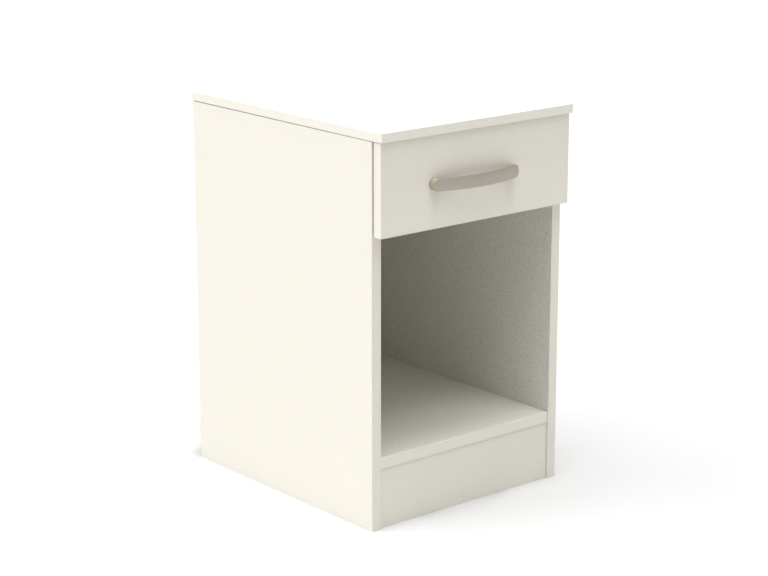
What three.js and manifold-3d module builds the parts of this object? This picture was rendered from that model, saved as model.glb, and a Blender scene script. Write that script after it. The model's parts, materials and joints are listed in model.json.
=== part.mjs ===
import * as THREE from "three";
import { mergeVertices } from "three/addons/utils/BufferGeometryUtils.js";
import Module from "manifold-3d";

const wasm = await Module();
wasm.setup();

// Bedside cabinet, millimetres, +Z up, front towards -Y, resting on z = 0.
// Inside the cabinet group y = 0 is the front edge of the side panels.

// Carcass
const overallHeight = 640;
const topWidth = 401;
const topDepth = 490;
const topThickness = 15;
const topFrontOverhang = 24;
const topEdging = 2;
const carcassWidth = 400;
const sideDepth = 465;
const board = 18;
const edging = 1;
const backThickness = 8;
const backInset = 10;
const grooveDepth = 5;
const grooveGap = 0.25;
const shelfTop = 117;
const shelfInset = 1.5;
const plinthInset = 3;
const dividerUnderside = 478;

// Drawer front and box
const frontWidth = 395.5;
const frontHeight = 147.5;
const frontBottom = 476.5;
const frontThickness = 17;
const frontGap = 1.5;
const frontEdging = 2;
const runnerSpace = 12.5;
const boxBoard = 12;
const boxBottom = 510;
const boxHeight = 94;
const boxLength = 400;
const bottomThickness = 4;
const bottomLift = 12;
const bottomTongue = 4.5;

// Handle
const handleOffset = -11.5;
const handleDrop = 2;
const handleHeight = 20;
const handleScrewSpacing = 160;
const handleProjection = 28;
const handleEndProjection = 10;
const handleThickness = 5;

// Roller runners; u is measured from the side panel's inner face towards the drawer
const sheet = 1.25;
const runnerBottom = 504;
const runnerLength = 400;
const runnerInset = 2;
const trackHeight = 22.25;
const flangeEnd = 8.75;
const lipHeight = 4;
const rollerRadius = 10.5;
const rollerWidth = 5.5;
const rollerStart = 3.25;
const rollerGap = 0.25;
const lipStart = 9.25;
const railStart = 2.5;
const notchLength = 28;
const tongueStart = 3.5;
const tongueWidth = 4.5;
const tongueDrop = 6.5;
const tongueGap = 0.5;
const rollerBore = 3.25;
const rollerChamfer = 0.6;
const axleRadius = 3;
const axleHeadRadius = 4.5;
const axleHead = 0.75;
const frontRollerBack = 14;
const rearRollerBack = 13;
const railClearance = 1;
const travel = 300;

// Fasteners
const cut = 0.3;
const past = 1;
const camRadius = 7.5;
const camDepth = 12.5;
const camBack = 34;
const camSlot = 2.5;
const boltRadius = 3.25;
const threadRadius = 2.5;
const threadLength = 11;
const camFromFront = 60;
const camFromRear = 65;
const camSlotHalf = 5;
const camSlotWidth = 0.9;
const screwRadius = 2;
const screwHeadRadius = 4;
const flatHead = 0.75;
const panHead = 2;
const runnerScrewFront = 45;
const runnerScrewRear = 60;
const sideScrewDepth = 12;
const undersideScrewDepth = 9.5;
const frontScrewDepth = 11;
const frontScrewInset = 25;
const frontScrewLevels = { lower: 540, upper: 588 };
const handleScrewDepth = 7;
const bufferRadius = 4;
const bufferThickness = 1.25;
const bufferRounding = 0.5;
const bufferLevel = 608;

// Segments of round surfaces
const roundSides = 24;
const camSides = 16;
const smallSides = 10;

// Derived places
const inner = carcassWidth / 2 - board;
const sideHeight = overallHeight - topThickness;
const topRear = topDepth - topFrontOverhang;
const backFront = sideDepth - backInset - backThickness;
const shelfBottom = shelfTop - board;
const dividerTop = dividerUnderside + board;
const frontBack = -frontGap;
const frontFace = frontBack - frontThickness;
const frontTop = frontBottom + frontHeight;
const boxOuter = inner - runnerSpace;
const boxInner = boxOuter - boxBoard;
const boxTop = boxBottom + boxHeight;
const boxRear = frontBack + boxLength;
const innerFrontRear = frontBack + boxBoard;
const bottomUnder = boxBottom + bottomLift;
const handleLevel = frontBottom + frontHeight / 2 - handleDrop;
const handleFront = frontFace - handleProjection;
const trackFloor = runnerBottom + sheet;
const trackRoof = trackFloor + trackHeight;
const railUnder = trackRoof + sheet + railClearance;
const railTop = railUnder + sheet;
const cabinetRollerY = runnerInset + frontRollerBack;
const cabinetRollerZ = railUnder - rollerGap - rollerRadius;
const drawerRollerY = boxRear - rearRollerBack;
const drawerRollerZ = trackFloor + rollerGap + rollerRadius;
const runnerScrewZ = trackFloor + trackHeight / 2;
const camRows = { front: camFromFront, rear: sideDepth - camFromRear };
const sides = { left: -1, right: 1 };

// Materials
const laminate = () => new THREE.MeshStandardMaterial({ color: 0xddd9cc, roughness: 0.55, metalness: 0 });
const edgeBand = () => new THREE.MeshStandardMaterial({ color: 0xdad6c8, roughness: 0.5, metalness: 0 });
const coatedSteel = () => new THREE.MeshStandardMaterial({ color: 0xe9e6dc, roughness: 0.4, metalness: 0 });
const nylon = () => new THREE.MeshStandardMaterial({ color: 0xf2f1ec, roughness: 0.45, metalness: 0 });
const satinNickel = () => new THREE.MeshStandardMaterial({ color: 0xb0a89b, roughness: 0.38, metalness: 1 });
const zincPlate = () => new THREE.MeshStandardMaterial({ color: 0xc4c6c8, roughness: 0.35, metalness: 1 });
const softPad = () => new THREE.MeshStandardMaterial({ color: 0xd8d8d4, roughness: 0.6, metalness: 0 });

// A closed geometry as a solid that can be joined and cut
function solid(geometry) {
  const bare = geometry.clone();
  bare.deleteAttribute("normal");
  bare.deleteAttribute("uv");
  const merged = mergeVertices(bare);
  return new wasm.Manifold(
    new wasm.Mesh({
      numProp: 3,
      vertProperties: merged.attributes.position.array,
      triVerts: new Uint32Array(merged.index.array),
    }),
  );
}

// The geometry of a joined or cut solid
function geometryOf(made) {
  const mesh = made.getMesh();
  const geometry = new THREE.BufferGeometry();
  geometry.setAttribute("position", new THREE.BufferAttribute(mesh.vertProperties, 3));
  geometry.setIndex(new THREE.BufferAttribute(mesh.triVerts, 1));
  geometry.computeVertexNormals();
  return geometry;
}

// A block between two values on each axis
function block([x0, x1], [y0, y1], [z0, z1]) {
  const geometry = new THREE.BoxGeometry(Math.abs(x1 - x0), y1 - y0, z1 - z0);
  return geometry.translate((x0 + x1) / 2, (y0 + y1) / 2, (z0 + z1) / 2);
}

function around(middle, half) {
  return [middle - half, middle + half];
}

// Turns a shape made along Y so that it lies along the named axis
function turn(geometry, axis) {
  if (axis === "x") geometry.rotateZ(-Math.PI / 2);
  if (axis === "z") geometry.rotateX(Math.PI / 2);
  return geometry;
}

// A round rod along an axis, from one value to another, at the two other coordinates
function rod(axis, [from, to], [a, b], radius, segments = smallSides) {
  const geometry = turn(new THREE.CylinderGeometry(radius, radius, Math.abs(to - from), segments), axis);
  const middle = (from + to) / 2;
  const place = { x: [middle, a, b], y: [a, middle, b], z: [a, b, middle] }[axis];
  return geometry.translate(...place);
}

// A turned piece: radius and place pairs along an axis, placed at the two other coordinates
function turned(axis, profile, [a, b], segments = smallSides) {
  const rising = profile[0][1] <= profile.at(-1)[1] ? profile : [...profile].reverse();
  const points = rising.map(([radius, along]) => new THREE.Vector2(radius, along));
  const geometry = turn(new THREE.LatheGeometry(points, segments), axis);
  const place = { x: [0, a, b], y: [a, 0, b], z: [a, b, 0] }[axis];
  return geometry.translate(...place);
}

function shapeOf(outline, hole) {
  const shape = new THREE.Shape(outline.map(([a, b]) => new THREE.Vector2(a, b)));
  if (hole) shape.holes.push(new THREE.Path(hole.map(([a, b]) => new THREE.Vector2(a, b))));
  return shape;
}

// A plan outline of x, y pairs standing from z0 to z1
function standing(outline, [z0, z1], hole) {
  const shape = shapeOf(outline, hole);
  const geometry = new THREE.ExtrudeGeometry(shape, { depth: z1 - z0, bevelEnabled: false });
  return geometry.translate(0, 0, z0);
}

// A cross-section of x, z pairs running from y0 to y1
function running(outline, [y0, y1], hole) {
  const shape = shapeOf(outline, hole);
  const geometry = new THREE.ExtrudeGeometry(shape, { depth: y1 - y0, bevelEnabled: false });
  return geometry.rotateX(Math.PI / 2).translate(0, y1, 0);
}

function rectangle(halfWidth, low, high) {
  return [[-halfWidth, low], [halfWidth, low], [halfWidth, high], [-halfWidth, high]];
}

function piece(group, name, geometry, material) {
  const mesh = new THREE.Mesh(geometry, material);
  mesh.name = name;
  group.add(mesh);
}

function cutFrom(geometry, tools) {
  return geometryOf(tools.reduce((left, tool) => left.subtract(solid(tool)), solid(geometry)));
}

// A cam and its bolt as one connector: the cam is sunk in the board that it holds
function connector(cam, bolt, slots) {
  const joined = solid(cam).add(solid(bolt));
  return geometryOf(slots.reduce((left, slot) => left.subtract(solid(slot)), joined));
}

// Connector of a shelf whose underside is at z, in the side panel given by sign
function shelfConnector(sign, y, z) {
  const x = sign * (inner - camBack);
  const slotZ = [z - past, z + camSlot];
  return connector(
    rod("z", [z, z + camDepth], [x, y], camRadius, camSides),
    rod("x", [x, sign * (inner + threadLength)], [y, z + board / 2], threadRadius),
    [
      block(around(x, camSlotHalf), around(y, camSlotWidth), slotZ),
      block(around(x, camSlotWidth), around(y, camSlotHalf), slotZ),
    ],
  );
}

// Connector that pulls the top down on a side panel
function topConnector(sign, y) {
  const z = sideHeight - camBack;
  const slotX = [inner - past, inner + camSlot].map((x) => sign * x);
  return connector(
    rod("x", [sign * inner, sign * (inner + camDepth)], [y, z], camRadius, camSides),
    rod("z", [z, sideHeight + threadLength], [sign * (inner + board / 2), y], threadRadius),
    [
      block(slotX, around(y, camSlotHalf), around(z, camSlotWidth)),
      block(slotX, around(y, camSlotWidth), around(z, camSlotHalf)),
    ],
  );
}

// Holes that a shelf needs for its four connectors
function shelfHoles(z) {
  const holes = [];
  for (const sign of Object.values(sides)) {
    for (const y of Object.values(camRows)) {
      const x = sign * (inner - camBack);
      holes.push(rod("z", [z - past, z + camDepth + cut], [x, y], camRadius + cut, camSides));
      holes.push(rod("x", [x, sign * (inner + past)], [y, z + board / 2], boltRadius + cut));
    }
  }
  return holes;
}

function shelf(bottom) {
  const core = block([-inner, inner], [shelfInset + edging, backFront], [bottom, bottom + board]);
  return cutFrom(core, shelfHoles(bottom));
}

function shelfEdge(bottom) {
  return block([-inner, inner], [shelfInset, shelfInset + edging], [bottom, bottom + board]);
}

// Side panel with the groove for the back and the holes for its fasteners
function sidePanel(sign) {
  const outer = inner + board;
  const groove = [backFront - grooveGap, backFront + backThickness + grooveGap];
  const outline = [
    [inner, edging],
    [outer, edging],
    [outer, sideDepth],
    [inner, sideDepth],
    [inner, groove[1]],
    [inner + grooveDepth, groove[1]],
    [inner + grooveDepth, groove[0]],
    [inner, groove[0]],
  ];
  const holes = [];
  for (const y of Object.values(camRows)) {
    for (const z of [shelfBottom, dividerUnderside]) {
      const span = [sign * (inner - past), sign * (inner + threadLength + cut)];
      holes.push(rod("x", span, [y, z + board / 2], threadRadius + cut));
    }
    const camSpan = [sign * (inner - past), sign * (inner + camDepth + cut)];
    const boltPlace = [sign * (inner + board / 2), y];
    holes.push(rod("x", camSpan, [y, sideHeight - camBack], camRadius + cut, camSides));
    holes.push(rod("z", [sideHeight - camBack, sideHeight + past], boltPlace, boltRadius + cut));
  }
  for (const y of Object.values(runnerScrewRows(runnerInset))) {
    const span = [sign * (inner - past), sign * (inner + sideScrewDepth + cut)];
    holes.push(rod("x", span, [y, runnerScrewZ], screwRadius + cut));
  }
  return cutFrom(standing(outline.map(([x, y]) => [sign * x, y]), [0, sideHeight]), holes);
}

// The two screws of a runner member that starts at y
function runnerScrewRows(y) {
  return { front: y + runnerScrewFront, rear: y + runnerLength - runnerScrewRear };
}

// Cabinet member of a runner: a channel with a lip, open in front above its roller
function cabinetRunner(sign) {
  const across = (u) => sign * (inner - u);
  const outline = [
    [0, runnerBottom],
    [lipStart + sheet, runnerBottom],
    [lipStart + sheet, trackFloor + lipHeight],
    [lipStart, trackFloor + lipHeight],
    [lipStart, trackFloor],
    [sheet, trackFloor],
    [sheet, trackRoof],
    [flangeEnd, trackRoof],
    [flangeEnd, trackRoof + sheet],
    [0, trackRoof + sheet],
  ].map(([u, z]) => [across(u), z]);
  const end = runnerInset + runnerLength;
  const stopLevel = trackRoof - tongueDrop;
  const rise = stopLevel - drawerRollerZ;
  const stopY = drawerRollerY - travel - Math.sqrt(rollerRadius ** 2 - rise ** 2) - tongueGap;
  const tongue = block(
    [across(tongueStart), across(tongueStart + tongueWidth)],
    [stopY - sheet, stopY],
    [stopLevel, trackRoof + sheet / 2],
  );
  const notch = block(
    [across(sheet), across(flangeEnd + past)],
    [runnerInset - past, runnerInset + notchLength],
    [trackRoof - past, trackRoof + sheet + past],
  );
  const through = [across(-past), across(sheet + past)];
  const tools = [notch, rod("x", through, [cabinetRollerY, cabinetRollerZ], axleRadius + cut)];
  for (const y of Object.values(runnerScrewRows(runnerInset))) {
    tools.push(rod("x", through, [y, runnerScrewZ], screwRadius + cut));
  }
  const channel = solid(running(outline, [runnerInset, end])).add(solid(tongue));
  return geometryOf(tools.reduce((left, tool) => left.subtract(solid(tool)), channel));
}

// Drawer member of a runner: an angle under the drawer side with a rail turned outwards
function drawerRunner(sign) {
  const outline = [
    [boxInner, boxBottom - sheet],
    [boxOuter + sheet, boxBottom - sheet],
    [boxOuter + sheet, railUnder],
    [inner - railStart, railUnder],
    [inner - railStart, railTop],
    [boxOuter, railTop],
    [boxOuter, boxBottom],
    [boxInner, boxBottom],
  ].map(([x, z]) => [sign * x, z]);
  const through = [sign * (boxOuter - past), sign * (boxOuter + sheet + past)];
  const tools = [rod("x", through, [drawerRollerY, drawerRollerZ], axleRadius + cut)];
  for (const y of Object.values(runnerScrewRows(frontBack))) {
    const place = [sign * (boxOuter - boxBoard / 2), y];
    tools.push(rod("z", [boxBottom - sheet - past, boxBottom + past], place, screwRadius + cut));
  }
  return cutFrom(running(outline, [frontBack, boxRear]), tools);
}

// Nylon roller at a place u1 to u1 + width from the side panel
function roller(sign, y, z) {
  const half = rollerWidth / 2;
  const middle = sign * (inner - rollerStart - half);
  const ring = [
    [rollerBore, -half],
    [rollerRadius - rollerChamfer, -half],
    [rollerRadius, -half + rollerChamfer],
    [rollerRadius, half - rollerChamfer],
    [rollerRadius - rollerChamfer, half],
    [rollerBore, half],
    [rollerBore, -half],
  ];
  return turned("x", ring.map(([radius, along]) => [radius, along + middle]), [y, z], roundSides);
}

// Riveted axle from the web at `foot` to a head that starts at `seat`
function axle(foot, seat, head, y, z) {
  const profile = [
    [0, foot],
    [axleRadius, foot],
    [axleRadius, seat],
    [axleHeadRadius, seat],
    [axleHeadRadius, head],
    [0, head],
  ];
  return turned("x", profile, [y, z], camSides);
}

// Screw along an axis: tip, underside of the head and top of the head
function screw(axis, tip, seat, top, place, headRadius = screwHeadRadius) {
  const profile = [
    [0, tip],
    [screwRadius, tip],
    [screwRadius, seat],
    [headRadius, seat],
    [headRadius, top],
    [0, top],
  ];
  return turned(axis, profile, place);
}

// Points of an arc of the handle's plan, from one end to the other
function handleArc(radius, steps = roundSides) {
  const reach = handleScrewSpacing / 2 + handleHeight / 2;
  const centre = handleFront + handleRadius();
  const points = [];
  for (let step = 0; step <= steps; step += 1) {
    const x = -reach + (2 * reach * step) / steps;
    points.push([handleOffset + x, centre - Math.sqrt(radius ** 2 - x ** 2)]);
  }
  return points;
}

// Radius of the handle's front face, from its chord and its rise
function handleRadius() {
  const reach = handleScrewSpacing / 2 + handleHeight / 2;
  const rise = handleProjection - handleEndProjection;
  return (reach ** 2 + rise ** 2) / (2 * rise);
}

// Elevation outline of the strap: a bar with half-round ends
function handleOutline() {
  const radius = handleHeight / 2;
  const points = [];
  for (const sign of [1, -1]) {
    for (let step = 0; step <= smallSides; step += 1) {
      const angle = (Math.PI * step) / smallSides - Math.PI / 2;
      const x = handleOffset + sign * (handleScrewSpacing / 2 + radius * Math.cos(angle));
      points.push([x, handleLevel + sign * radius * Math.sin(angle)]);
    }
  }
  return points;
}

// Arched strap on two round posts, with blind holes for its screws
function handle() {
  const span = around(handleLevel, handleHeight / 2 + past);
  const front = handleArc(handleRadius());
  const rear = handleArc(handleRadius() - handleThickness).reverse();
  const foot = [[rear[0][0], frontFace], [rear.at(-1)[0], frontFace]];
  const elevation = solid(running(handleOutline(), [handleFront - past, frontFace]));
  const strap = solid(standing([...front, ...rear], span)).intersect(elevation);
  const behind = solid(standing([...front, ...foot], span));
  const postRadius = handleHeight / 2 - cut;
  let made = strap;
  for (const x of handleScrewPlaces()) {
    const post = solid(rod("y", [handleFront, frontFace], [x, handleLevel], postRadius, roundSides));
    made = made.add(post.intersect(behind));
  }
  for (const x of handleScrewPlaces()) {
    const depth = [frontFace - handleScrewDepth - cut, frontFace + past];
    made = made.subtract(solid(rod("y", depth, [x, handleLevel], screwRadius + cut)));
  }
  return geometryOf(made);
}

function handleScrewPlaces() {
  return [-1, 1].map((sign) => handleOffset + (sign * handleScrewSpacing) / 2);
}

// Centres of the four screws between drawer box and drawer front, by name
function frontScrewPlaces() {
  const places = {};
  for (const [side, sign] of Object.entries(sides)) {
    for (const [level, z] of Object.entries(frontScrewLevels)) {
      places[`${side}_${level}`] = [sign * (boxInner - frontScrewInset), z];
    }
  }
  return places;
}

function frontHoles() {
  const holes = [];
  for (const x of handleScrewPlaces()) {
    holes.push(rod("y", [frontFace - past, innerFrontRear + past], [x, handleLevel], screwRadius + cut));
  }
  for (const place of Object.values(frontScrewPlaces())) {
    const span = [frontBack - frontScrewDepth - cut, innerFrontRear + past];
    holes.push(rod("y", span, place, screwRadius + cut));
  }
  return holes;
}

function drawerSide(sign) {
  const under = bottomUnder - grooveGap;
  const over = bottomUnder + bottomThickness + grooveGap;
  const outline = [
    [boxInner, boxBottom],
    [boxOuter, boxBottom],
    [boxOuter, boxTop],
    [boxInner, boxTop],
    [boxInner, over],
    [boxInner + grooveDepth, over],
    [boxInner + grooveDepth, under],
    [boxInner, under],
  ].map(([x, z]) => [sign * x, z]);
  const holes = Object.values(runnerScrewRows(frontBack)).map((y) => {
    const place = [sign * (boxOuter - boxBoard / 2), y];
    return rod("z", [boxBottom - past, boxBottom + undersideScrewDepth + cut], place, screwRadius + cut);
  });
  return cutFrom(running(outline, [frontBack, boxRear]), holes);
}

function drawerInnerFront() {
  const core = block([-boxInner, boxInner], [frontBack, innerFrontRear], [boxBottom, boxTop]);
  const groove = block(
    [-boxInner - past, boxInner + past],
    [innerFrontRear - grooveDepth, innerFrontRear + past],
    [bottomUnder - grooveGap, bottomUnder + bottomThickness + grooveGap],
  );
  return cutFrom(core, [groove, ...frontHoles()]);
}

function drawerBottom() {
  const reach = boxInner + bottomTongue;
  const span = [innerFrontRear - bottomTongue, boxRear];
  return block([-reach, reach], span, [bottomUnder, bottomUnder + bottomThickness]);
}

function drawerBack() {
  const span = [boxRear - boxBoard, boxRear];
  return block([-boxInner, boxInner], span, [bottomUnder + bottomThickness, boxTop]);
}

function buffer(sign) {
  const profile = [
    [0, -bufferThickness],
    [bufferRadius - bufferRounding, -bufferThickness],
    [bufferRadius, -bufferThickness + bufferRounding],
    [bufferRadius, 0],
    [0, 0],
  ];
  return turned("y", profile, [sign * (inner + board / 2), bufferLevel], camSides);
}

function topPanel() {
  const core = block(
    [-topWidth / 2 + topEdging, topWidth / 2 - topEdging],
    [topEdging - topFrontOverhang, topRear - topEdging],
    [sideHeight, overallHeight],
  );
  const holes = [];
  for (const sign of Object.values(sides)) {
    for (const y of Object.values(camRows)) {
      const span = [sideHeight - past, sideHeight + threadLength + cut];
      holes.push(rod("z", span, [sign * (inner + board / 2), y], threadRadius + cut));
    }
  }
  return cutFrom(core, holes);
}

function topEdge() {
  const outer = rectangle(topWidth / 2, -topFrontOverhang, topRear);
  const hole = rectangle(topWidth / 2 - topEdging, topEdging - topFrontOverhang, topRear - topEdging);
  return standing(outer, [sideHeight, overallHeight], hole);
}

function drawerFrontCore() {
  const half = frontWidth / 2 - frontEdging;
  const span = [frontBottom + frontEdging, frontTop - frontEdging];
  return cutFrom(block([-half, half], [frontFace, frontBack], span), frontHoles());
}

function drawerFrontEdge() {
  const outer = rectangle(frontWidth / 2, frontBottom, frontTop);
  const hole = rectangle(frontWidth / 2 - frontEdging, frontBottom + frontEdging, frontTop - frontEdging);
  return running(outer, [frontFace, frontBack], hole);
}

function addPanels(group) {
  const backReach = inner + grooveDepth - cut;
  const backSpan = [backFront, backFront + backThickness];
  const plinthSpan = [plinthInset, plinthInset + board];
  piece(group, "top_panel", topPanel(), laminate());
  piece(group, "top_edging", topEdge(), edgeBand());
  piece(group, "back_panel", block([-backReach, backReach], backSpan, [0, sideHeight]), laminate());
  piece(group, "base_shelf", shelf(shelfBottom), laminate());
  piece(group, "base_shelf_edging", shelfEdge(shelfBottom), edgeBand());
  piece(group, "divider_shelf", shelf(dividerUnderside), laminate());
  piece(group, "divider_shelf_edging", shelfEdge(dividerUnderside), edgeBand());
  piece(group, "plinth_panel", block([-inner, inner], plinthSpan, [0, shelfBottom]), laminate());
  for (const [side, sign] of Object.entries(sides)) {
    const strip = block([sign * inner, sign * (inner + board)], [0, edging], [0, sideHeight]);
    piece(group, `side_panel_${side}`, sidePanel(sign), laminate());
    piece(group, `side_edging_${side}`, strip, edgeBand());
    piece(group, `buffer_${side}`, buffer(sign), softPad());
  }
}

function addConnectors(group) {
  for (const [side, sign] of Object.entries(sides)) {
    for (const [row, y] of Object.entries(camRows)) {
      const place = `${side}_${row}`;
      piece(group, `base_shelf_connector_${place}`, shelfConnector(sign, y, shelfBottom), zincPlate());
      piece(group, `divider_connector_${place}`, shelfConnector(sign, y, dividerUnderside), zincPlate());
      piece(group, `top_connector_${place}`, topConnector(sign, y), zincPlate());
    }
  }
}

function addCabinetRunners(group) {
  for (const [side, sign] of Object.entries(sides)) {
    const at = (u) => sign * (inner - u);
    const seat = rollerStart + rollerWidth + cut;
    const pin = axle(at(0), at(seat), at(seat + axleHead), cabinetRollerY, cabinetRollerZ);
    piece(group, `cabinet_runner_${side}`, cabinetRunner(sign), coatedSteel());
    piece(group, `cabinet_roller_axle_${side}`, pin, zincPlate());
    piece(group, `cabinet_roller_${side}`, roller(sign, cabinetRollerY, cabinetRollerZ), nylon());
    for (const [row, y] of Object.entries(runnerScrewRows(runnerInset))) {
      const made = screw("x", at(-sideScrewDepth), at(sheet), at(sheet + flatHead), [y, runnerScrewZ]);
      piece(group, `cabinet_runner_screw_${side}_${row}`, made, zincPlate());
    }
  }
}

function addDrawerRunners(group) {
  for (const [side, sign] of Object.entries(sides)) {
    const at = (u) => sign * (inner - u);
    const seat = rollerStart - cut;
    const pin = axle(at(runnerSpace), at(seat), at(seat - axleHead), drawerRollerY, drawerRollerZ);
    const under = boxBottom - sheet;
    const centre = sign * (boxOuter - boxBoard / 2);
    piece(group, `drawer_runner_${side}`, drawerRunner(sign), coatedSteel());
    piece(group, `drawer_roller_axle_${side}`, pin, zincPlate());
    piece(group, `drawer_roller_${side}`, roller(sign, drawerRollerY, drawerRollerZ), nylon());
    for (const [row, y] of Object.entries(runnerScrewRows(frontBack))) {
      const made = screw("z", boxBottom + undersideScrewDepth, under, under - panHead, [centre, y]);
      piece(group, `drawer_runner_screw_${side}_${row}`, made, zincPlate());
    }
  }
}

function addDrawerBox(group) {
  piece(group, "drawer_front", drawerFrontCore(), laminate());
  piece(group, "drawer_front_edging", drawerFrontEdge(), edgeBand());
  piece(group, "drawer_inner_front", drawerInnerFront(), laminate());
  piece(group, "drawer_back", drawerBack(), laminate());
  piece(group, "drawer_bottom", drawerBottom(), laminate());
  for (const [side, sign] of Object.entries(sides)) {
    piece(group, `drawer_side_${side}`, drawerSide(sign), laminate());
  }
  for (const [name, place] of Object.entries(frontScrewPlaces())) {
    const made = screw("y", frontBack - frontScrewDepth, innerFrontRear, innerFrontRear + panHead, place);
    piece(group, `drawer_front_screw_${name}`, made, zincPlate());
  }
}

function addHandle(group) {
  piece(group, "handle", handle(), satinNickel());
  handleScrewPlaces().forEach((x, index) => {
    const tip = frontFace - handleScrewDepth;
    const made = screw("y", tip, innerFrontRear, innerFrontRear + panHead, [x, handleLevel]);
    piece(group, `handle_screw_${Object.keys(sides)[index]}`, made, zincPlate());
  });
}

const carcass = new THREE.Group();
addPanels(carcass);
addConnectors(carcass);
addCabinetRunners(carcass);

const drawer = new THREE.Group();
addDrawerBox(drawer);
addDrawerRunners(drawer);
addHandle(drawer);

// The origin is the middle of the cabinet's footprint, which reaches from handle to top's rear edge
const cabinet = new THREE.Group();
cabinet.position.y = -(handleFront + topRear) / 2;
cabinet.add(carcass, drawer);

export default cabinet;
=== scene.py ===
import json
import math
import bmesh
import bpy
from mathutils import Matrix, Vector


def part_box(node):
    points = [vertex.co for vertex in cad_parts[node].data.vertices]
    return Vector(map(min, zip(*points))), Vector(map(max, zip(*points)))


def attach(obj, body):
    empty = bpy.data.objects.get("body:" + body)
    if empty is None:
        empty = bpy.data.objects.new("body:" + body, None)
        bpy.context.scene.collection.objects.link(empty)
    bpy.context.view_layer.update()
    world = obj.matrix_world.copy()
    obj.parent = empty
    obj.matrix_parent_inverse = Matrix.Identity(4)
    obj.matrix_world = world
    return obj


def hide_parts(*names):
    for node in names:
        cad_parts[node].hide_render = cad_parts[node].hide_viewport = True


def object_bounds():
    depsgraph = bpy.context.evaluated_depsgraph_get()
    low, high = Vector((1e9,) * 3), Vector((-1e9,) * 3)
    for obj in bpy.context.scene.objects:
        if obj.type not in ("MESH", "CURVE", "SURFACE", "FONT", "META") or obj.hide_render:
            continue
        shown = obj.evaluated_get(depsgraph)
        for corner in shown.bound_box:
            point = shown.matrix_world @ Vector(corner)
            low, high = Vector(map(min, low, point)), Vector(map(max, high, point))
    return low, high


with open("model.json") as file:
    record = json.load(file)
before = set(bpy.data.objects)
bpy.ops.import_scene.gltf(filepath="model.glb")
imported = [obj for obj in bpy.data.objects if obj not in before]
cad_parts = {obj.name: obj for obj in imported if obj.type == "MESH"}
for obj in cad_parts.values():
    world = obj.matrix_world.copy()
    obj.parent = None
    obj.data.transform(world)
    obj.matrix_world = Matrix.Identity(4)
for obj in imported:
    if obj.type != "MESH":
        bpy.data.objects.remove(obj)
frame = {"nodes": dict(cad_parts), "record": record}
nodes = frame["nodes"]
cadLow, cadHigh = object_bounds()
middle = (cadLow + cadHigh) / 2
print("frame loaded:", len(nodes), "nodes")

# Camera, lights and floor

shot = {
    "azimuth": -40,  # degrees, negative is from the left
    "elevation": 15,
    "distance": 3.556,  # metres from the middle of the cabinet
    "lens": 100,
}

studio = {
    "sky": 0.35,  # strength of the even white surround
    "floorTone": 0.45,
    "floorSize": 60,
}

# Each soft light: where it comes from (degrees round from the front and above the floor),
# how wide it looks from the cabinet (degrees), and its strength
softLights = {
    "overhead": (0, 90, 30, 1.28),
    "ceilingFront": (0, 87.5, 4, 2.2),
    "highFront": (0, 70, 30, 0.8),
    "front": (0, 45, 60, 0.57),
    "left": (-90, 60, 60, 1.32),
    "leftRear": (-135, 30, 60, 2.05),
}


def makeCamera():
    azimuth = math.radians(shot["azimuth"])
    elevation = math.radians(shot["elevation"])
    back = Vector((
        math.sin(azimuth) * math.cos(elevation),
        -math.cos(azimuth) * math.cos(elevation),
        math.sin(elevation),
    ))
    camera = bpy.data.objects.new("camera", bpy.data.cameras.new("camera"))
    bpy.context.scene.collection.objects.link(camera)
    camera.data.lens = shot["lens"]
    camera.data.sensor_width = 36
    camera.location = middle + back * shot["distance"]
    camera.rotation_euler = (-back).to_track_quat("-Z", "Y").to_euler()
    bpy.context.scene.camera = camera


def makeSoftLight(name, around, above, width, strength):
    light = bpy.data.lights.new(name, "SUN")
    light.energy = strength
    light.angle = math.radians(width)
    lamp = bpy.data.objects.new(name, light)
    bpy.context.scene.collection.objects.link(lamp)
    turn, lift = math.radians(around), math.radians(above)
    towards = Vector((math.sin(turn) * math.cos(lift), -math.cos(turn) * math.cos(lift), math.sin(lift)))
    lamp.location = middle + towards * 3
    lamp.rotation_euler = towards.to_track_quat("Z", "Y").to_euler()


def makeSky():
    world = bpy.data.worlds.new("studio")
    bpy.context.scene.world = world
    world.use_nodes = True
    background = world.node_tree.nodes["Background"]
    background.inputs["Color"].default_value = (1, 1, 1, 1)
    background.inputs["Strength"].default_value = studio["sky"]


def makeFloor():
    mesh = bpy.data.meshes.new("floor")
    half = studio["floorSize"] / 2
    corners = [(-half, -half, 0), (half, -half, 0), (half, half, 0), (-half, half, 0)]
    mesh.from_pydata(corners, [], [(0, 1, 2, 3)])
    floor = bpy.data.objects.new("floor", mesh)
    bpy.context.scene.collection.objects.link(floor)
    tone = studio["floorTone"]
    material = bpy.data.materials.new("paleFloor")
    material.use_nodes = True
    shader = material.node_tree.nodes["Principled BSDF"]
    shader.inputs["Base Color"].default_value = (tone, tone, tone, 1)
    shader.inputs["Roughness"].default_value = 0.9
    shader.inputs["Specular IOR Level"].default_value = 0.0
    mesh.materials.append(material)


makeCamera()
makeSky()
for name, (around, above, width, strength) in softLights.items():
    makeSoftLight(name, around, above, width, strength)
makeFloor()
bpy.context.scene.view_settings.view_transform = "Standard"
print("studio made")

# Node helpers for the materials


def newMaterial(name):
    material = bpy.data.materials.new(name)
    material.use_nodes = True
    tree = material.node_tree
    return material, tree, tree.nodes["Principled BSDF"]


def rowPlace(tree, stretch=(1, 1, 1)):
    # Places in metres, squeezed along an axis where a grain runs along it
    coordinates = tree.nodes.new("ShaderNodeTexCoord")
    mapping = tree.nodes.new("ShaderNodeMapping")
    mapping.inputs["Scale"].default_value = stretch
    tree.links.new(coordinates.outputs["Object"], mapping.inputs["Vector"])
    return mapping.outputs["Vector"]


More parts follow.
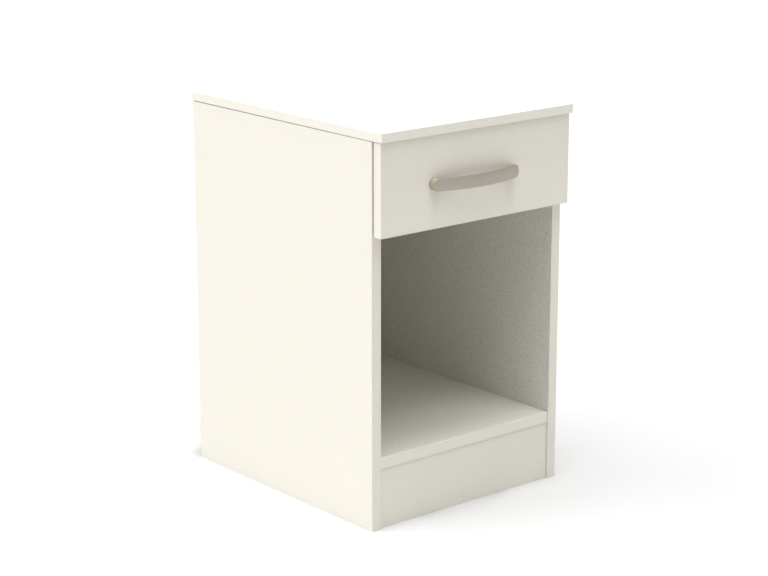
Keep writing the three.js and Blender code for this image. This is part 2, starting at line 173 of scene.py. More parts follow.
def noise(tree, place, perMetre, detail=4.0, roughness=0.55):
    texture = tree.nodes.new("ShaderNodeTexNoise")
    texture.inputs["Scale"].default_value = perMetre
    texture.inputs["Detail"].default_value = detail
    texture.inputs["Roughness"].default_value = roughness
    tree.links.new(place, texture.inputs["Vector"])
    return texture.outputs["Fac"]


def spread(tree, value, low, high, fromLow=0.3, fromHigh=0.7):
    node = tree.nodes.new("ShaderNodeMapRange")
    node.inputs["From Min"].default_value = fromLow
    node.inputs["From Max"].default_value = fromHigh
    node.inputs["To Min"].default_value = low
    node.inputs["To Max"].default_value = high
    tree.links.new(value, node.inputs["Value"])
    return node.outputs["Result"]


def blendColours(tree, factor, first, second, mode="MIX"):
    node = tree.nodes.new("ShaderNodeMix")
    node.data_type = "RGBA"
    node.blend_type = mode
    tree.links.new(factor, node.inputs["Factor"])
    for socket, value in ((node.inputs[6], first), (node.inputs[7], second)):
        if isinstance(value, tuple):
            socket.default_value = (*value, 1)
        else:
            tree.links.new(value, socket)
    return node.outputs[2]


def addBumps(tree, shader, height, strength, distance):
    bump = tree.nodes.new("ShaderNodeBump")
    bump.inputs["Strength"].default_value = strength
    bump.inputs["Distance"].default_value = distance
    tree.links.new(height, bump.inputs["Height"])
    tree.links.new(bump.outputs["Normal"], shader.inputs["Normal"])


def scaled(colour, factor):
    return tuple(channel * factor for channel in colour)


board = {
    "cream": (0.682, 0.656, 0.585),
    "cloudTone": 0.985,  # the darkest cloud against the lightest
    "speckTone": 0.955,
    "cloudsPerMetre": 9,
    "specksPerMetre": 480,
    "dimplesPerMetre": 1300,
    "dimpleDepth": 0.00005,
    "smooth": 0.42,
    "rough": 0.52,
}
# The faces round the open compartment show the speckles more, and take a lighter, more neutral copy of
# the cream: painted light, tuned to how the light falls inside
paintedLightInsideBoard = dict(board, cream=(0.742, 0.722, 0.662), speckTone=0.77)


def makeCreamBoard(name, face):
    material, tree, shader = newMaterial(name)
    place = rowPlace(tree)
    clouds = noise(tree, place, face["cloudsPerMetre"])
    specks = noise(tree, place, face["specksPerMetre"], 2.0)
    cloudy = blendColours(tree, clouds, face["cream"], scaled(face["cream"], face["cloudTone"]))
    speckFactor = spread(tree, specks, 0.0, 1.0, 0.4, 0.65)
    colour = blendColours(tree, speckFactor, cloudy, scaled(face["cream"], face["speckTone"]))
    tree.links.new(colour, shader.inputs["Base Color"])
    tree.links.new(spread(tree, clouds, face["smooth"], face["rough"]), shader.inputs["Roughness"])
    dimples = noise(tree, place, face["dimplesPerMetre"], 3.0)
    addBumps(tree, shader, dimples, 0.35, face["dimpleDepth"])
    return material


edgeStrip = {
    "cream": (0.680, 0.652, 0.580),
    "streakTone": 0.975,
    "streakStretch": (40, 40, 400),
    "finePerMetre": 1800,
    "smooth": 0.32,
    "rough": 0.42,
    "streakDepth": 0.00002,
}


def makeCreamEdging():
    material, tree, shader = newMaterial("creamEdging")
    streaks = noise(tree, rowPlace(tree, edgeStrip["streakStretch"]), 1.0, 3.0)
    streaked = scaled(edgeStrip["cream"], edgeStrip["streakTone"])
    colour = blendColours(tree, streaks, edgeStrip["cream"], streaked)
    tree.links.new(colour, shader.inputs["Base Color"])
    roughness = spread(tree, streaks, edgeStrip["smooth"], edgeStrip["rough"])
    tree.links.new(roughness, shader.inputs["Roughness"])
    fine = noise(tree, rowPlace(tree), edgeStrip["finePerMetre"], 2.0)
    addBumps(tree, shader, fine, 0.3, edgeStrip["streakDepth"])
    return material


chipboard = {
    "light": (0.62, 0.47, 0.30),
    "dark": (0.30, 0.19, 0.10),
    "flakesPerMetre": 420,
    "flakeStretch": (1, 0.45, 1.6),
    "flakeDepth": 0.0004,
    "rough": 0.9,
}


def makeRawChipboard():
    material, tree, shader = newMaterial("rawChipboard")
    place = rowPlace(tree, chipboard["flakeStretch"])
    cells = tree.nodes.new("ShaderNodeTexVoronoi")
    cells.inputs["Scale"].default_value = chipboard["flakesPerMetre"]
    tree.links.new(place, cells.inputs["Vector"])
    flakes = noise(tree, place, chipboard["flakesPerMetre"], 5.0, 0.7)
    factor = spread(tree, flakes, 0, 1, 0.35, 0.65)
    mixed = blendColours(tree, factor, chipboard["light"], chipboard["dark"])
    tone = blendColours(tree, cells.outputs["Distance"], mixed, chipboard["light"])
    tree.links.new(tone, shader.inputs["Base Color"])
    shader.inputs["Roughness"].default_value = chipboard["rough"]
    addBumps(tree, shader, flakes, 0.8, chipboard["flakeDepth"])
    return material


# Painted shade: dark greys for the notch faces under the top, which darken the joint line there beyond
# the shade the notch casts
joint = {
    "light": (0.42, 0.40, 0.35),
    "dark": (0.30, 0.285, 0.25),
    "specksPerMetre": 700,
    "speckDepth": 0.0001,
    "rough": 0.85,
}


def makePaintedShadeJoint():
    material, tree, shader = newMaterial("paintedShadeJoint")
    specks = noise(tree, rowPlace(tree), joint["specksPerMetre"], 3.0)
    colour = blendColours(tree, specks, joint["light"], joint["dark"])
    tree.links.new(colour, shader.inputs["Base Color"])
    shader.inputs["Roughness"].default_value = joint["rough"]
    addBumps(tree, shader, specks, 0.5, joint["speckDepth"])
    return material


powder = {
    "cream": (0.80, 0.78, 0.71),
    "dimTone": 0.96,
    "patchesPerMetre": 30,
    "peelPerMetre": 650,
    "peelDepth": 0.00006,
    "smooth": 0.30,
    "rough": 0.42,
}


def makePowderCoat():
    material, tree, shader = newMaterial("powderCoat")
    place = rowPlace(tree)
    peel = noise(tree, place, powder["peelPerMetre"], 2.0)
    patches = noise(tree, place, powder["patchesPerMetre"])
    dim = scaled(powder["cream"], powder["dimTone"])
    colour = blendColours(tree, patches, powder["cream"], dim)
    tree.links.new(colour, shader.inputs["Base Color"])
    roughness = spread(tree, patches, powder["smooth"], powder["rough"])
    tree.links.new(roughness, shader.inputs["Roughness"])
    addBumps(tree, shader, peel, 0.5, powder["peelDepth"])
    return material


nylon = {
    "white": (0.82, 0.82, 0.79),
    "rubbed": (0.55, 0.55, 0.53),
    "marksPerMetre": 260,
    "markDepth": 0.00003,
    "glow": 0.15,  # share of light that wanders inside
    "glowReach": 0.002,
    "smooth": 0.35,
    "rough": 0.5,
}


def makeWhiteNylon():
    material, tree, shader = newMaterial("whiteNylon")
    marks = noise(tree, rowPlace(tree), nylon["marksPerMetre"], 4.0)
    factor = spread(tree, marks, 0.0, 0.35, 0.5, 0.75)
    colour = blendColours(tree, factor, nylon["white"], nylon["rubbed"])
    tree.links.new(colour, shader.inputs["Base Color"])
    tree.links.new(spread(tree, marks, nylon["smooth"], nylon["rough"]), shader.inputs["Roughness"])
    shader.inputs["Subsurface Weight"].default_value = nylon["glow"]
    shader.inputs["Subsurface Radius"].default_value = (nylon["glowReach"],) * 3
    addBumps(tree, shader, marks, 0.2, nylon["markDepth"])
    return material


strapNickel = {
    "bright": (0.43, 0.392, 0.338),
    "dull": (0.40, 0.365, 0.315),
    "smooth": 0.40,
    "rough": 0.48,
}
# Painted light: a lighter copy of the strap's nickel for the posts' sides, standing in for the light
# from the left that falls on them
paintedLightPostNickel = {
    "bright": (0.58, 0.53, 0.435),
    "dull": (0.53, 0.485, 0.395),
    "smooth": 0.50,
    "rough": 0.60,
}
brushed = {
    "grainStretch": (60, 1600, 1600),  # the grain runs along the handle
    "grainDepth": 0.000012,
    "patchesPerMetre": 55,
}


def makeSatinNickel(name, nickel):
    material, tree, shader = newMaterial(name)
    grain = noise(tree, rowPlace(tree, brushed["grainStretch"]), 1.0, 4.0)
    patches = noise(tree, rowPlace(tree), brushed["patchesPerMetre"])
    colour = blendColours(tree, patches, nickel["bright"], nickel["dull"])
    tree.links.new(colour, shader.inputs["Base Color"])
    roughness = spread(tree, grain, nickel["smooth"], nickel["rough"])
    tree.links.new(roughness, shader.inputs["Roughness"])
    shader.inputs["Metallic"].default_value = 1.0
    addBumps(tree, shader, grain, 0.35, brushed["grainDepth"])
    return material


zinc = {
    "bright": (0.62, 0.64, 0.66),
    "dull": (0.46, 0.48, 0.50),
    "spanglesPerMetre": 420,
    "spangleDepth": 0.00003,
    "smooth": 0.25,
    "rough": 0.45,
}


def makeZincPlate():
    material, tree, shader = newMaterial("zincPlate")
    spangle = noise(tree, rowPlace(tree), zinc["spanglesPerMetre"], 4.0)
    colour = blendColours(tree, spangle, zinc["bright"], zinc["dull"])
    tree.links.new(colour, shader.inputs["Base Color"])
    roughness = spread(tree, spangle, zinc["smooth"], zinc["rough"])
    tree.links.new(roughness, shader.inputs["Roughness"])
    shader.inputs["Metallic"].default_value = 1.0
    addBumps(tree, shader, spangle, 0.3, zinc["spangleDepth"])
    return material


pad = {
    "clear": (0.80, 0.81, 0.80),
    "cloudy": (0.72, 0.73, 0.71),
    "hazePerMetre": 500,
    "smooth": 0.3,
    "rough": 0.5,
    "clearness": 0.4,
    "refraction": 1.48,
}


def makeSoftPad():
    material, tree, shader = newMaterial("softPad")
    haze = noise(tree, rowPlace(tree), pad["hazePerMetre"])
    colour = blendColours(tree, haze, pad["clear"], pad["cloudy"])
    tree.links.new(colour, shader.inputs["Base Color"])
    tree.links.new(spread(tree, haze, pad["smooth"], pad["rough"]), shader.inputs["Roughness"])
    shader.inputs["Transmission Weight"].default_value = pad["clearness"]
    shader.inputs["IOR"].default_value = pad["refraction"]
    return material


finishes = {
    "cream_laminate": makeCreamBoard("creamBoard", board),
    "cream_edging": makeCreamEdging(),
    "coated_steel": makePowderCoat(),
    "white_nylon": makeWhiteNylon(),
    "satin_nickel": makeSatinNickel("satinNickel", strapNickel),
    "zinc_plate": makeZincPlate(),
    "buffer_pad": makeSoftPad(),
}
speckledPaintedLightBoard = makeCreamBoard("speckledPaintedLightBoard", paintedLightInsideBoard)
paintedLightPosts = makeSatinNickel("paintedLightPosts", paintedLightPostNickel)
rawChipboard = makeRawChipboard()
paintedShadeJoint = makePaintedShadeJoint()
slotOf = {part["node"]: part["material_slot"] for part in frame["record"]["subparts"]}
bodyOf = {
    node: body
    for body, members in frame["record"]["behaviour"]["bodies"].items()
    for node in members
}
for name, part in nodes.items():
    part.data.materials.clear()
    part.data.materials.append(finishes[slotOf[name]])
print("materials made:", len(bpy.data.materials))

# Helpers for the small turned and joined pieces, which replace their plain stand-ins

replaced = []
finest = 48  # sides of a round piece


def boxOf(node):
    low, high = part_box(node)
    return Vector(low), Vector(high)


def turnProfile(profile, sides=finest, ring=False):
    # A round mesh about Z from radius and height pairs; a ring profile closes on its first pair
    mesh = bmesh.new()
    rings = []
    for radius, height in profile:
        angles = [2 * math.pi * step / sides for step in range(sides)]
        places = [(radius * math.cos(angle), radius * math.sin(angle), height) for angle in angles]
        if radius == 0:
            places = places[:1]
        rings.append([mesh.verts.new(place) for place in places])
    if ring:
        rings.append(rings[0])
    for lower, upper in zip(rings, rings[1:]):
        for step in range(sides):
            ahead = (step + 1) % sides
            corners = [
                lower[step % len(lower)],
                lower[ahead % len(lower)],
                upper[ahead % len(upper)],
                upper[step % len(upper)],
            ]
            mesh.faces.new(list(dict.fromkeys(corners)))
    bmesh.ops.recalc_face_normals(mesh, faces=mesh.faces)
    return mesh


def finished(bm, name, smoothAngle=35):
    mesh = bpy.data.meshes.new(name)
    bm.to_mesh(mesh)
    bm.free()
    mesh.shade_smooth()
    mesh.set_sharp_from_angle(angle=math.radians(smoothAngle))
    return mesh


def combine(mesh, tools, operation, smoothAngle=35):
    # Joins the tools to a mesh or cuts them out of it, and returns the new mesh
    holder = bpy.data.objects.new("holder", mesh)
    bpy.context.scene.collection.objects.link(holder)
    helpers = [holder]
    for tool in tools:
        helper = bpy.data.objects.new("tool", tool)
        bpy.context.scene.collection.objects.link(helper)
        helpers.append(helper)
        change = holder.modifiers.new("combine", "BOOLEAN")
        change.operation = operation
        change.solver = "EXACT"
        change.object = helper
    bpy.context.view_layer.update()
    graph = bpy.context.evaluated_depsgraph_get()
    made = bpy.data.meshes.new_from_object(holder.evaluated_get(graph))
    for helper in helpers:
        bpy.data.objects.remove(helper)
    made.shade_smooth()
    made.set_sharp_from_angle(angle=math.radians(smoothAngle))
    return made


def frameAt(origin, zAxis, xAxis):
    zAxis, xAxis = Vector(zAxis), Vector(xAxis)
    yAxis = zAxis.cross(xAxis)
    turned = Matrix((xAxis, yAxis, zAxis)).transposed()
    return Matrix.Translation(origin) @ turned.to_4x4()


def addPiece(node, mesh, place=None):
    # Stands a finer mesh in for a node, on the same body and in the same finish
    mesh = mesh.copy()
    if place is not None:
        mesh.transform(place)
    piece = bpy.data.objects.new(node + "_fine", mesh)
    bpy.context.scene.collection.objects.link(piece)
    mesh.materials.clear()
    mesh.materials.append(finishes[slotOf[node]])
    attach(piece, bodyOf[node])
    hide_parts(node)
    replaced.append(node)
    return piece


def sideSign(node):
    low, high = boxOf(node)
    return 1 if low.x + high.x > 0 else -1


# Handle: an arched strap with half-round ends on two round posts

handleShape = {
    "strap": 0.005,  # thickness
    "endReach": 0.010,  # how far the strap's ends stand off the drawer front
    "frontRounding": 0.0004,
    "rearRounding": 0.0003,
    "postInset": 0.00012,
    "postFoot": 0.0004,  # rounding where a post meets the drawer front
    "stepsAlong": 56,
    "stepsRound": 14,
    "stepsOfRounding": 5,
}


def makeStrap(low, high):
    half = (high.x - low.x) / 2
    endRadius = (high.z - low.z) / 2
    spacing = half - endRadius
    centreX = (low.x + high.x) / 2
    centreZ = (low.z + high.z) / 2
    rise = (high.y - low.y) - handleShape["endReach"]
    arc = (half**2 + rise**2) / (2 * rise)
    arcCentre = low.y + arc
    thickness = handleShape["strap"]

    def outline(inset):
        # Upper points from left to right; the lower ones mirror them
        radius = endRadius - inset
        steps = handleShape["stepsRound"]
        left = [math.pi - math.pi / 2 * step / steps for step in range(steps + 1)]
        points = [(-spacing + radius * math.cos(angle), radius * math.sin(angle)) for angle in left]
        along = handleShape["stepsAlong"]
        points += [(-spacing + 2 * spacing * step / along, radius) for step in range(1, along)]
        right = [math.pi / 2 - math.pi / 2 * step / steps for step in range(steps + 1)]
        points += [(spacing + radius * math.cos(angle), radius * math.sin(angle)) for angle in right]
        return points

    sections = []
    turns = handleShape["stepsOfRounding"]
    rounding = handleShape["frontRounding"]
    for step in range(turns + 1):
        angle = math.pi / 2 * step / turns
        sections.append((rounding * (1 - math.sin(angle)), rounding * (1 - math.cos(angle))))
    rounding = handleShape["rearRounding"]
    for step in range(turns + 1):
        angle = math.pi / 2 * (1 - step / turns)
        sections.append((rounding * (1 - math.sin(angle)), thickness - rounding * (1 - math.cos(angle))))

    mesh = bmesh.new()
    rings = []
    for inset, depth in sections:
        upper = outline(inset)
        ring = upper + [(x, -z) for x, z in reversed(upper[1:-1])]
        verts = []
        for x, z in ring:
            y = arcCentre - math.sqrt((arc - depth) ** 2 - x**2)
            verts.append(mesh.verts.new((centreX + x, y, centreZ + z)))
        rings.append(verts)
    count = len(rings[0])
    for nearer, farther in zip(rings, rings[1:]):
        for step in range(count):
            ahead = (step + 1) % count
            mesh.faces.new((nearer[step], nearer[ahead], farther[ahead], farther[step]))
    upperCount = len(outline(0))
    for ring in (rings[0], rings[-1]):
        upper = ring[:upperCount]
        lower = [ring[0]] + ring[:upperCount - 2:-1]
        for step in range(upperCount - 1):
            corners = [upper[step], upper[step + 1], lower[step + 1], lower[step]]
            mesh.faces.new(list(dict.fromkeys(corners)))
    bmesh.ops.recalc_face_normals(mesh, faces=mesh.faces)
    return finished(mesh, "strap"), spacing, endRadius, centreX, centreZ


def makeHandle():
    low, high = boxOf("handle")
    strap, spacing, endRadius, centreX, centreZ = makeStrap(low, high)
    radius = endRadius - handleShape["postInset"]
    foot = handleShape["postFoot"]
    standOff = handleShape["endReach"]
    profile = [
        (0, 0),
        (radius - foot, 0),
        (radius - foot * 0.3, foot * 0.3),
        (radius, foot),
        (radius, standOff - handleShape["strap"] / 2),
        (0, standOff - handleShape["strap"] / 2),
    ]
    posts = []
    for sign in (-1, 1):
        post = finished(turnProfile(profile, 64), "post")
        post.transform(frameAt((centreX + sign * spacing, high.y, centreZ), (0, -1, 0), (1, 0, 0)))
        posts.append(post)
    handle = addPiece("handle", combine(strap, posts, "UNION"))
    # The posts' sides take the lighter copy of the nickel: painted light
    handle.data.materials.append(paintedLightPosts)
    for face in handle.data.polygons:
        isPost = face.center.y > high.y - standOff and abs(face.center.x - centreX) > spacing - endRadius
        if isPost and abs(face.normal.y) < 0.5:
            face.material_index = 1


makeHandle()
print("handle made")

# Rollers: moulded wheels with a hub, a rim and ribs between them

wheel = {
    "bore": 0.00325,
    "boreChamfer": 0.0002,
    "rounding": 0.0008,
    "softEdge": 0.00015,
    "hubRadius": 0.0046,
    "rimRadius": 0.0088,
    "recess": 0.0011,
    "ribs": 6,
    "sides": 72,
}


def makeRoller(radius, width):
    rounding = wheel["rounding"]
    half = width / 2
    bore = wheel["bore"]
    chamfer = wheel["boreChamfer"]
    steps = 4
    profile = [(bore, -half + chamfer), (bore + chamfer, -half)]
    profile += [(wheel["hubRadius"], -half), (wheel["rimRadius"], -half)]
    for step in range(steps + 1):
        angle = math.pi / 2 * step / steps
        reach = radius - rounding * (1 - math.sin(angle))
        profile.append((reach, -half + rounding * (1 - math.cos(angle))))
    profile += [(reach, -height) for reach, height in reversed(profile)]
    mesh = turnProfile(profile, wheel["sides"], ring=True)
    perRib = wheel["sides"] // wheel["ribs"]
    mesh.faces.ensure_lookup_table()
    for side in (-1, 1):
        for rib in range(wheel["ribs"]):
            pocket = []
            for face in mesh.faces:
                place = face.calc_center_median()
                reach = math.hypot(place.x, place.y)
                onSide = abs(place.z - side * half) < 0.000001
                if not onSide or not wheel["hubRadius"] < reach < wheel["rimRadius"]:
                    continue
                share = math.atan2(place.y, place.x) / (2 * math.pi) % 1
                sector = int(share * wheel["sides"])
                if sector // perRib == rib and 0 < sector % perRib < perRib - 1:
                    pocket.append(face)
            drop = bmesh.ops.extrude_face_region(mesh, geom=pocket)
            moved = [part for part in drop["geom"] if isinstance(part, bmesh.types.BMVert)]
            bmesh.ops.translate(mesh, verts=moved, vec=(0, 0, -side * wheel["recess"]))
            left = [face for face in pocket if face.is_valid]
            bmesh.ops.delete(mesh, geom=left, context="FACES_ONLY")
    bmesh.ops.recalc_face_normals(mesh, faces=mesh.faces)
    return finished(mesh, "roller", 30)


for owner in ("cabinet", "drawer"):
    for side in ("left", "right"):
        node = f"{owner}_roller_{side}"
        low, high = boxOf(node)
        size = high - low
        made = makeRoller(size.z / 2, size.x)
        piece = addPiece(node, made, frameAt((low + high) / 2, (1, 0, 0), (0, 1, 0)))
        edge = piece.modifiers.new("softEdges", "BEVEL")
        edge.width = wheel["softEdge"]
        edge.segments = 2
        edge.limit_method = "ANGLE"
        edge.angle_limit = math.radians(50)
print("rollers made")

# Riveted axles: a pin with a domed head

rivet = {
    "pin": 0.003,
    "head": 0.00075,
    "headEdge": 0.0002,
    "dimple": 0.0012,
    "dimpleDepth": 0.00025,
    "dimpleFloor": 0.6,  # share of the dimple's radius
    "dimpleRise": 0.9,
    "steps": 8,
}


def makeRivet(headRadius, length):
    # The head's top is at zero and the pin goes down
    deep = rivet["dimpleDepth"]
    floorReach = rivet["dimple"] * rivet["dimpleFloor"]
    top = [(0, -deep), (floorReach, -deep * rivet["dimpleRise"]), (rivet["dimple"], 0)]
    steps = rivet["steps"]
    drop = rivet["head"] - rivet["headEdge"]
    for step in range(1, steps + 1):
        angle = math.pi / 2 * step / steps
        reach = rivet["dimple"] + (headRadius - rivet["dimple"]) * math.sin(angle)
        top.append((reach, -drop * (1 - math.cos(angle))))
    profile = top + [(headRadius, -rivet["head"]), (rivet["pin"], -rivet["head"])]
    profile += [(rivet["pin"], -length), (0, -length)]
    return finished(turnProfile(profile), "rivet", 40)


for owner, headTowardsMiddle in (("cabinet", True), ("drawer", False)):
    for side in ("left", "right"):
        node = f"{owner}_roller_axle_{side}"
        low, high = boxOf(node)
        size = high - low
        sign = sideSign(node)
        direction = -sign if headTowardsMiddle else sign
        centre = (low + high) / 2
        centre.x = high.x if direction > 0 else low.x
        made = makeRivet(size.z / 2, size.x)
        addPiece(node, made, frameAt(centre, (direction, 0, 0), (0, 1, 0)))
print("axles made")

# Screws: a threaded shank under a rounded head with a cross recess

screwShape = {
    "threadOuter": 0.002,
    "threadCore": 0.00135,
    "pitch": 0.0014,
    "tip": 0.0028,
    "panHead": 0.002,
    "waferHead": 0.00075,
    "crownShare": 0.6,  # how much of the head's height is domed
    "crownSteps": 8,
    "rimShare": 0.85,
    "rimTaper": 0.97,
    "shankShare": 0.98,  # smooth shank against the thread's outer radius
    "rowsPerTurn": 4,
    "crossReach": 0.0021,
    "crossWidth": 0.00045,
    "crossDepth": 0.0017,
    "sides": 32,
}
crossTaper = {
    "above": 0.0004,
    "mouth": 1.06,
    "bottomReach": 0.35,
    "bottomWidth": 0.6,
}


def crossCutters(reach, width, depth):
    cutters = []
    for blade in range(2):
        mesh = bmesh.new()
        corners = []
        mouth = (crossTaper["above"], reach * crossTaper["mouth"], width * crossTaper["mouth"])
        bottom = (-depth, reach * crossTaper["bottomReach"], width * crossTaper["bottomWidth"])
        for height, long, wide in (mouth, bottom):
            for x, y in ((-long, -wide), (long, -wide), (long, wide), (-long, wide)):
                place = (x, y, height) if blade == 0 else (y, x, height)
                corners.append(mesh.verts.new(place))
        bmesh.ops.convex_hull(mesh, input=corners)
        bmesh.ops.recalc_face_normals(mesh, faces=mesh.faces)
        cutters.append(finished(mesh, "cutter"))
    return cutters


def makeScrew(headRadius, headHeight, length):
    # The head's top is at zero and the tip points down
    sides = screwShape["sides"]
    mesh = bmesh.new()
    rows = [[mesh.verts.new((0, 0, 0))]]

    def addRow(radiusAt, height):
        row = []
        for step in range(sides):
            angle = 2 * math.pi * step / sides
            radius = radiusAt(step / sides)
            row.append(mesh.verts.new((radius * math.cos(angle), radius * math.sin(angle), height)))
        rows.append(row)

    crown = headHeight * screwShape["crownShare"]
    smooth = screwShape["threadOuter"] * screwShape["shankShare"]
    steps = screwShape["crownSteps"]
    for step in range(1, steps + 1):
        angle = math.pi / 2 * step / steps
        reach = headRadius * math.sin(angle)
        addRow(lambda share, reach=reach: reach, -crown * (1 - math.cos(angle)))
    addRow(lambda share: headRadius, -headHeight * screwShape["rimShare"])
    addRow(lambda share: headRadius * screwShape["rimTaper"], -headHeight)
    addRow(lambda share: smooth, -headHeight)
    rowGap = screwShape["pitch"] / screwShape["rowsPerTurn"]
    start = headHeight + rowGap
    count = int((length - start) / rowGap)
    for index in range(count):
        depth = start + index * rowGap
        taper = min(1.0, (length - depth) / screwShape["tip"])
        ease = min(1.0, index / screwShape["rowsPerTurn"])

        def threadRadius(share, depth=depth, taper=taper, ease=ease):
            turn = (depth / screwShape["pitch"] + share) % 1.0
            ridge = max(0.0, 1 - abs(turn - 0.5) * 3)
            height = screwShape["threadOuter"] - screwShape["threadCore"]
            threaded = screwShape["threadCore"] + height * ridge
            return (smooth * (1 - ease) + threaded * ease) * taper

        addRow(threadRadius, -depth)
    rows.append([mesh.verts.new((0, 0, -length))])
    for upper, lower in zip(rows, rows[1:]):
        for step in range(sides):
            ahead = (step + 1) % sides
            corners = [
                upper[step % len(upper)],
                upper[ahead % len(upper)],
                lower[ahead % len(lower)],
                lower[step % len(lower)],
            ]
            mesh.faces.new(list(dict.fromkeys(corners)))
    bmesh.ops.recalc_face_normals(mesh, faces=mesh.faces)
    shape = screwShape
    cutters = crossCutters(shape["crossReach"], shape["crossWidth"], shape["crossDepth"])
    return combine(finished(mesh, "screw"), cutters, "DIFFERENCE")


def addScrews(names, axis, towards, headHeight):
    made = None
    for node in names:
        low, high = boxOf(node)
        size = high - low
        direction = towards(node)
        origin = (low + high) / 2
        origin[axis] = high[axis] if direction[axis] > 0 else low[axis]
        if made is None:
            across = size[(axis + 1) % 3]
            made = makeScrew(across / 2, headHeight, size[axis])
        sideways = (0, 1, 0) if axis == 0 else (1, 0, 0)
        addPiece(node, made, frameAt(origin, direction, sideways))


def nodesNamed(start):
    return sorted(name for name in nodes if name.startswith(start))


def inwards(node):
    return (-sideSign(node), 0, 0)


def downwards(node):
    return (0, 0, -1)


def backwards(node):
    return (0, 1, 0)


addScrews(nodesNamed("cabinet_runner_screw"), 0, inwards, screwShape["waferHead"])
addScrews(nodesNamed("drawer_runner_screw"), 2, downwards, screwShape["panHead"])
addScrews(nodesNamed("drawer_front_screw"), 1, backwards, screwShape["panHead"])
addScrews(nodesNamed("handle_screw"), 1, backwards, screwShape["panHead"])
print("screws made")

# Panel connectors: a die-cast cam with a cross recess, and the bolt that it pulls

cam = {
    "radius": 0.0075,
    "depth": 0.0125,
    "rounding": 0.0004,
    "rimWidth": 0.0011,
    "sunk": 0.0004,
    "crossReach": 0.0048,
    "crossWidth": 0.00095,
    "crossDepth": 0.0026,
    "boltRadius": 0.00325,
    "threadRadius": 0.0025,
    "threadLength": 0.011,
    "threadCore": 0.78,  # share of the thread's radius
    "tipCore": 0.45,
    "tipLength": 0.0012,
    "shoulder": 0.0003,
    "threadGap": 0.0002,
    "boltLevel": 0.009,  # below the cam's face
    "boltPitch": 0.0018,
}


def makeConnector(reach):
    # The cam's face is at zero and looks up; the bolt runs along X to the given reach
    radius, rim, sunk = cam["radius"], cam["rimWidth"], cam["sunk"]
    rounding = cam["rounding"]
    profile = [
        (0, -sunk),
        (radius - rim - sunk, -sunk),
        (radius - rim, 0),
        (radius - rounding, 0),
        (radius - rounding * 0.3, -rounding * 0.3),
        (radius, -rounding),
        (radius, -cam["depth"]),
        (0, -cam["depth"]),
    ]
    body = finished(turnProfile(profile, 64), "cam")
    threadStart = reach - cam["threadLength"]
    outer = cam["boltRadius"]
    shoulder = cam["shoulder"]
    shank = [(0, 0), (outer, 0), (outer, threadStart - shoulder), (outer - shoulder, threadStart)]
    place = threadStart + cam["threadGap"]
    tipStart = reach - cam["tipLength"]
    core = cam["threadRadius"] * cam["threadCore"]
    while place + cam["boltPitch"] < tipStart:
        shank.append((core, place))
        shank.append((cam["threadRadius"], place + cam["boltPitch"] * 0.5))
        place += cam["boltPitch"]
    shank += [(core, place), (core, tipStart)]
    shank += [(cam["threadRadius"] * cam["tipCore"], reach), (0, reach)]
    bolt = finished(turnProfile(shank, 32), "bolt")
    bolt.transform(frameAt((0, 0, -cam["boltLevel"]), (1, 0, 0), (0, 1, 0)))
    joined = combine(body, [bolt], "UNION")
    cutters = crossCutters(cam["crossReach"], cam["crossWidth"], cam["crossDepth"])
    return combine(joined, cutters, "DIFFERENCE")


def addConnectors(names, standing):
    # A standing connector looks at the middle and its bolt points up; the others look down
    made = None
    for node in names:
        low, high = boxOf(node)
        sign = sideSign(node)
        origin = (low + high) / 2
        if standing:
            looks, runs = (-sign, 0, 0), (0, 0, 1)
            origin.x = high.x if sign < 0 else low.x
            origin.z = low.z + cam["radius"]
            reach = high.z - origin.z
        else:
            looks, runs = (0, 0, -1), (sign, 0, 0)
            origin.z = low.z
            origin.x = low.x + cam["radius"] if sign > 0 else high.x - cam["radius"]
            reach = high.x - origin.x if sign > 0 else origin.x - low.x
        if made is None:
            made = makeConnector(reach)
        addPiece(node, made, frameAt(origin, looks, runs))


addConnectors(nodesNamed("base_shelf_connector") + nodesNamed("divider_connector"), False)
addConnectors(nodesNamed("top_connector"), True)
print("connectors made")

# Soft bumper pads behind the drawer front: low clear domes

bumper = {
    "edgeShare": 0.18,  # upright edge against the pad's height
    "roundness": 0.8,
    "steps": 12,
}


def makeBumper(radius, height):
    edge = height * bumper["edgeShare"]
    dome = height - edge
    profile = [(0, 0), (radius, 0), (radius, edge)]
    steps = bumper["steps"]
    for step in range(1, steps + 1):
        angle = math.pi / 2 * step / steps
        reach = radius * math.cos(angle) ** bumper["roundness"]
        profile.append((reach, edge + dome * math.sin(angle)))
    profile[-1] = (0, height)
    return finished(turnProfile(profile), "bumper", 50)


for side in ("left", "right"):
    node = f"buffer_{side}"
    low, high = boxOf(node)
    centre = (low + high) / 2
    centre.y = high.y
    made = makeBumper((high.z - low.z) / 2, high.y - low.y)
    addPiece(node, made, frameAt(centre, (0, -1, 0), (1, 0, 0)))
print("bumpers made")
print("finer pieces:", len(replaced))

# Rounded edges on the boards, strips and sheet steel

edgeRadius = {
    "board": 0.0002,
    "strip": 0.0003,
    "thickStrip": 0.0006,
    "underTop": 0.0014,
    "sheet": 0.0004,
}
cornerTolerance = 0.000002


def joinCorners(part):
    # The loaded triangles don't share their corners, and rounding needs shared ones
    weld = part.modifiers.new("joinCorners", "WELD")
    weld.merge_threshold = cornerTolerance


def roundEdges(part, width, segments=2, angle=40):
    bevel = part.modifiers.new("roundEdges", "BEVEL")
    bevel.width = width
    bevel.segments = segments
    bevel.limit_method = "ANGLE"
    bevel.angle_limit = math.radians(angle)
    bevel.use_clamp_overlap = True
    return bevel


def roundChosenEdges(part, width, chosen, segments=3):
    # Rounds the edges whose middle point the chosen test takes
    mesh = part.data
    name = "bevel_weight_edge"
    weights = mesh.attributes.get(name) or mesh.attributes.new(name, "FLOAT", "EDGE")
    for edge in mesh.edges:
        ends = [mesh.vertices[index].co for index in edge.vertices]
        weights.data[edge.index].value = chosen((ends[0] + ends[1]) / 2)
    bevel = part.modifiers.new("roundEdges", "BEVEL")
    bevel.width = width
    bevel.segments = segments
    bevel.limit_method = "WEIGHT"
    return bevel


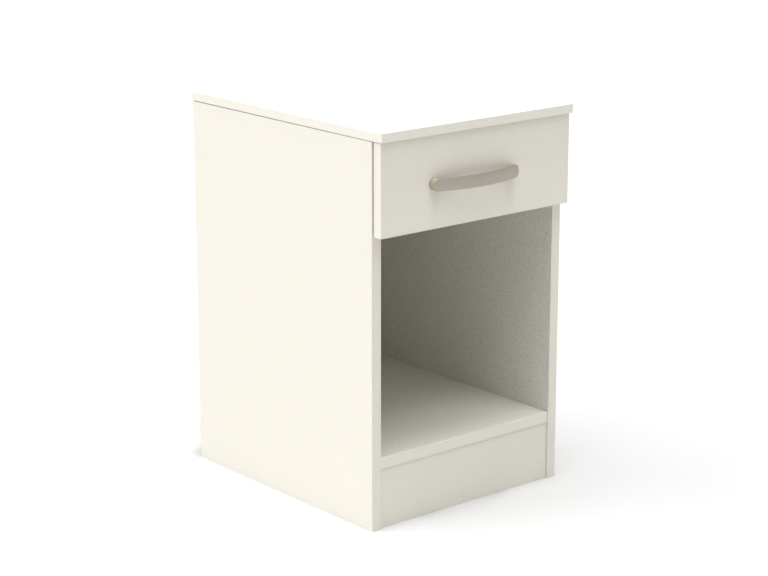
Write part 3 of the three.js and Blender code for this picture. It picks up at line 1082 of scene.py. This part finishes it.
def roundOuterEdges(part, width, tolerance=0.0001):
    # Only the edges on the node's own outer box are rounded, so that a strip still meets its board
    low, high = boxOf(part.name)

    def isOuter(point):
        nearest = [min(abs(point[axis] - low[axis]), abs(point[axis] - high[axis])) for axis in range(3)]
        return 1.0 if sum(gap < tolerance for gap in nearest) >= 2 else 0.0

    return roundChosenEdges(part, width, isOuter)


def notchUnderTop(part, tolerance=0.0001):
    # A small notch along the side panel's upper outer edge, which leaves a fine dark joint under the
    # top; the notch casts real shade, and its faces take a dark grey that adds painted shade to the
    # joint line
    low, high = boxOf(part.name)
    outer = high.x if sideSign(part.name) > 0 else low.x

    def isUnderTop(point):
        return 1.0 if abs(point.z - high.z) < tolerance and abs(point.x - outer) < tolerance else 0.0

    notch = roundChosenEdges(part, edgeRadius["underTop"], isUnderTop, 5)
    notch.profile = 0
    notch.use_clamp_overlap = False
    part.data.materials.append(paintedShadeJoint)
    notch.material = len(part.data.materials) - 1


def faceFinish(part, direction, material, least=0.99):
    # Gives every face that looks along one direction its own material
    part.data.materials.append(material)
    index = len(part.data.materials) - 1
    for face in part.data.polygons:
        if face.normal.dot(Vector(direction)) > least:
            face.material_index = index


for name, part in nodes.items():
    if name in replaced:
        continue
    joinCorners(part)
    slot = slotOf[name]
    if name in ("top_edging", "drawer_front_edging"):
        roundOuterEdges(part, edgeRadius["thickStrip"])
    elif slot == "cream_edging":
        roundOuterEdges(part, edgeRadius["strip"])
    elif slot == "cream_laminate":
        if name.startswith("side_panel"):
            notchUnderTop(part)
        roundEdges(part, edgeRadius["board"])
    elif slot == "coated_steel":
        roundEdges(part, edgeRadius["sheet"])
for name in ("side_panel_left", "side_panel_right", "plinth_panel", "back_panel"):
    faceFinish(nodes[name], (0, 0, -1), rawChipboard)
# The inside faces take the lighter, more neutral cream copy: painted light
insideFaces = {
    "side_panel_left": (1, 0, 0),
    "side_panel_right": (-1, 0, 0),
    "back_panel": (0, -1, 0),
    "base_shelf": (0, 0, 1),
    "divider_shelf": (0, 0, -1),
}
for name, direction in insideFaces.items():
    faceFinish(nodes[name], direction, speckledPaintedLightBoard)
print("edges rounded")
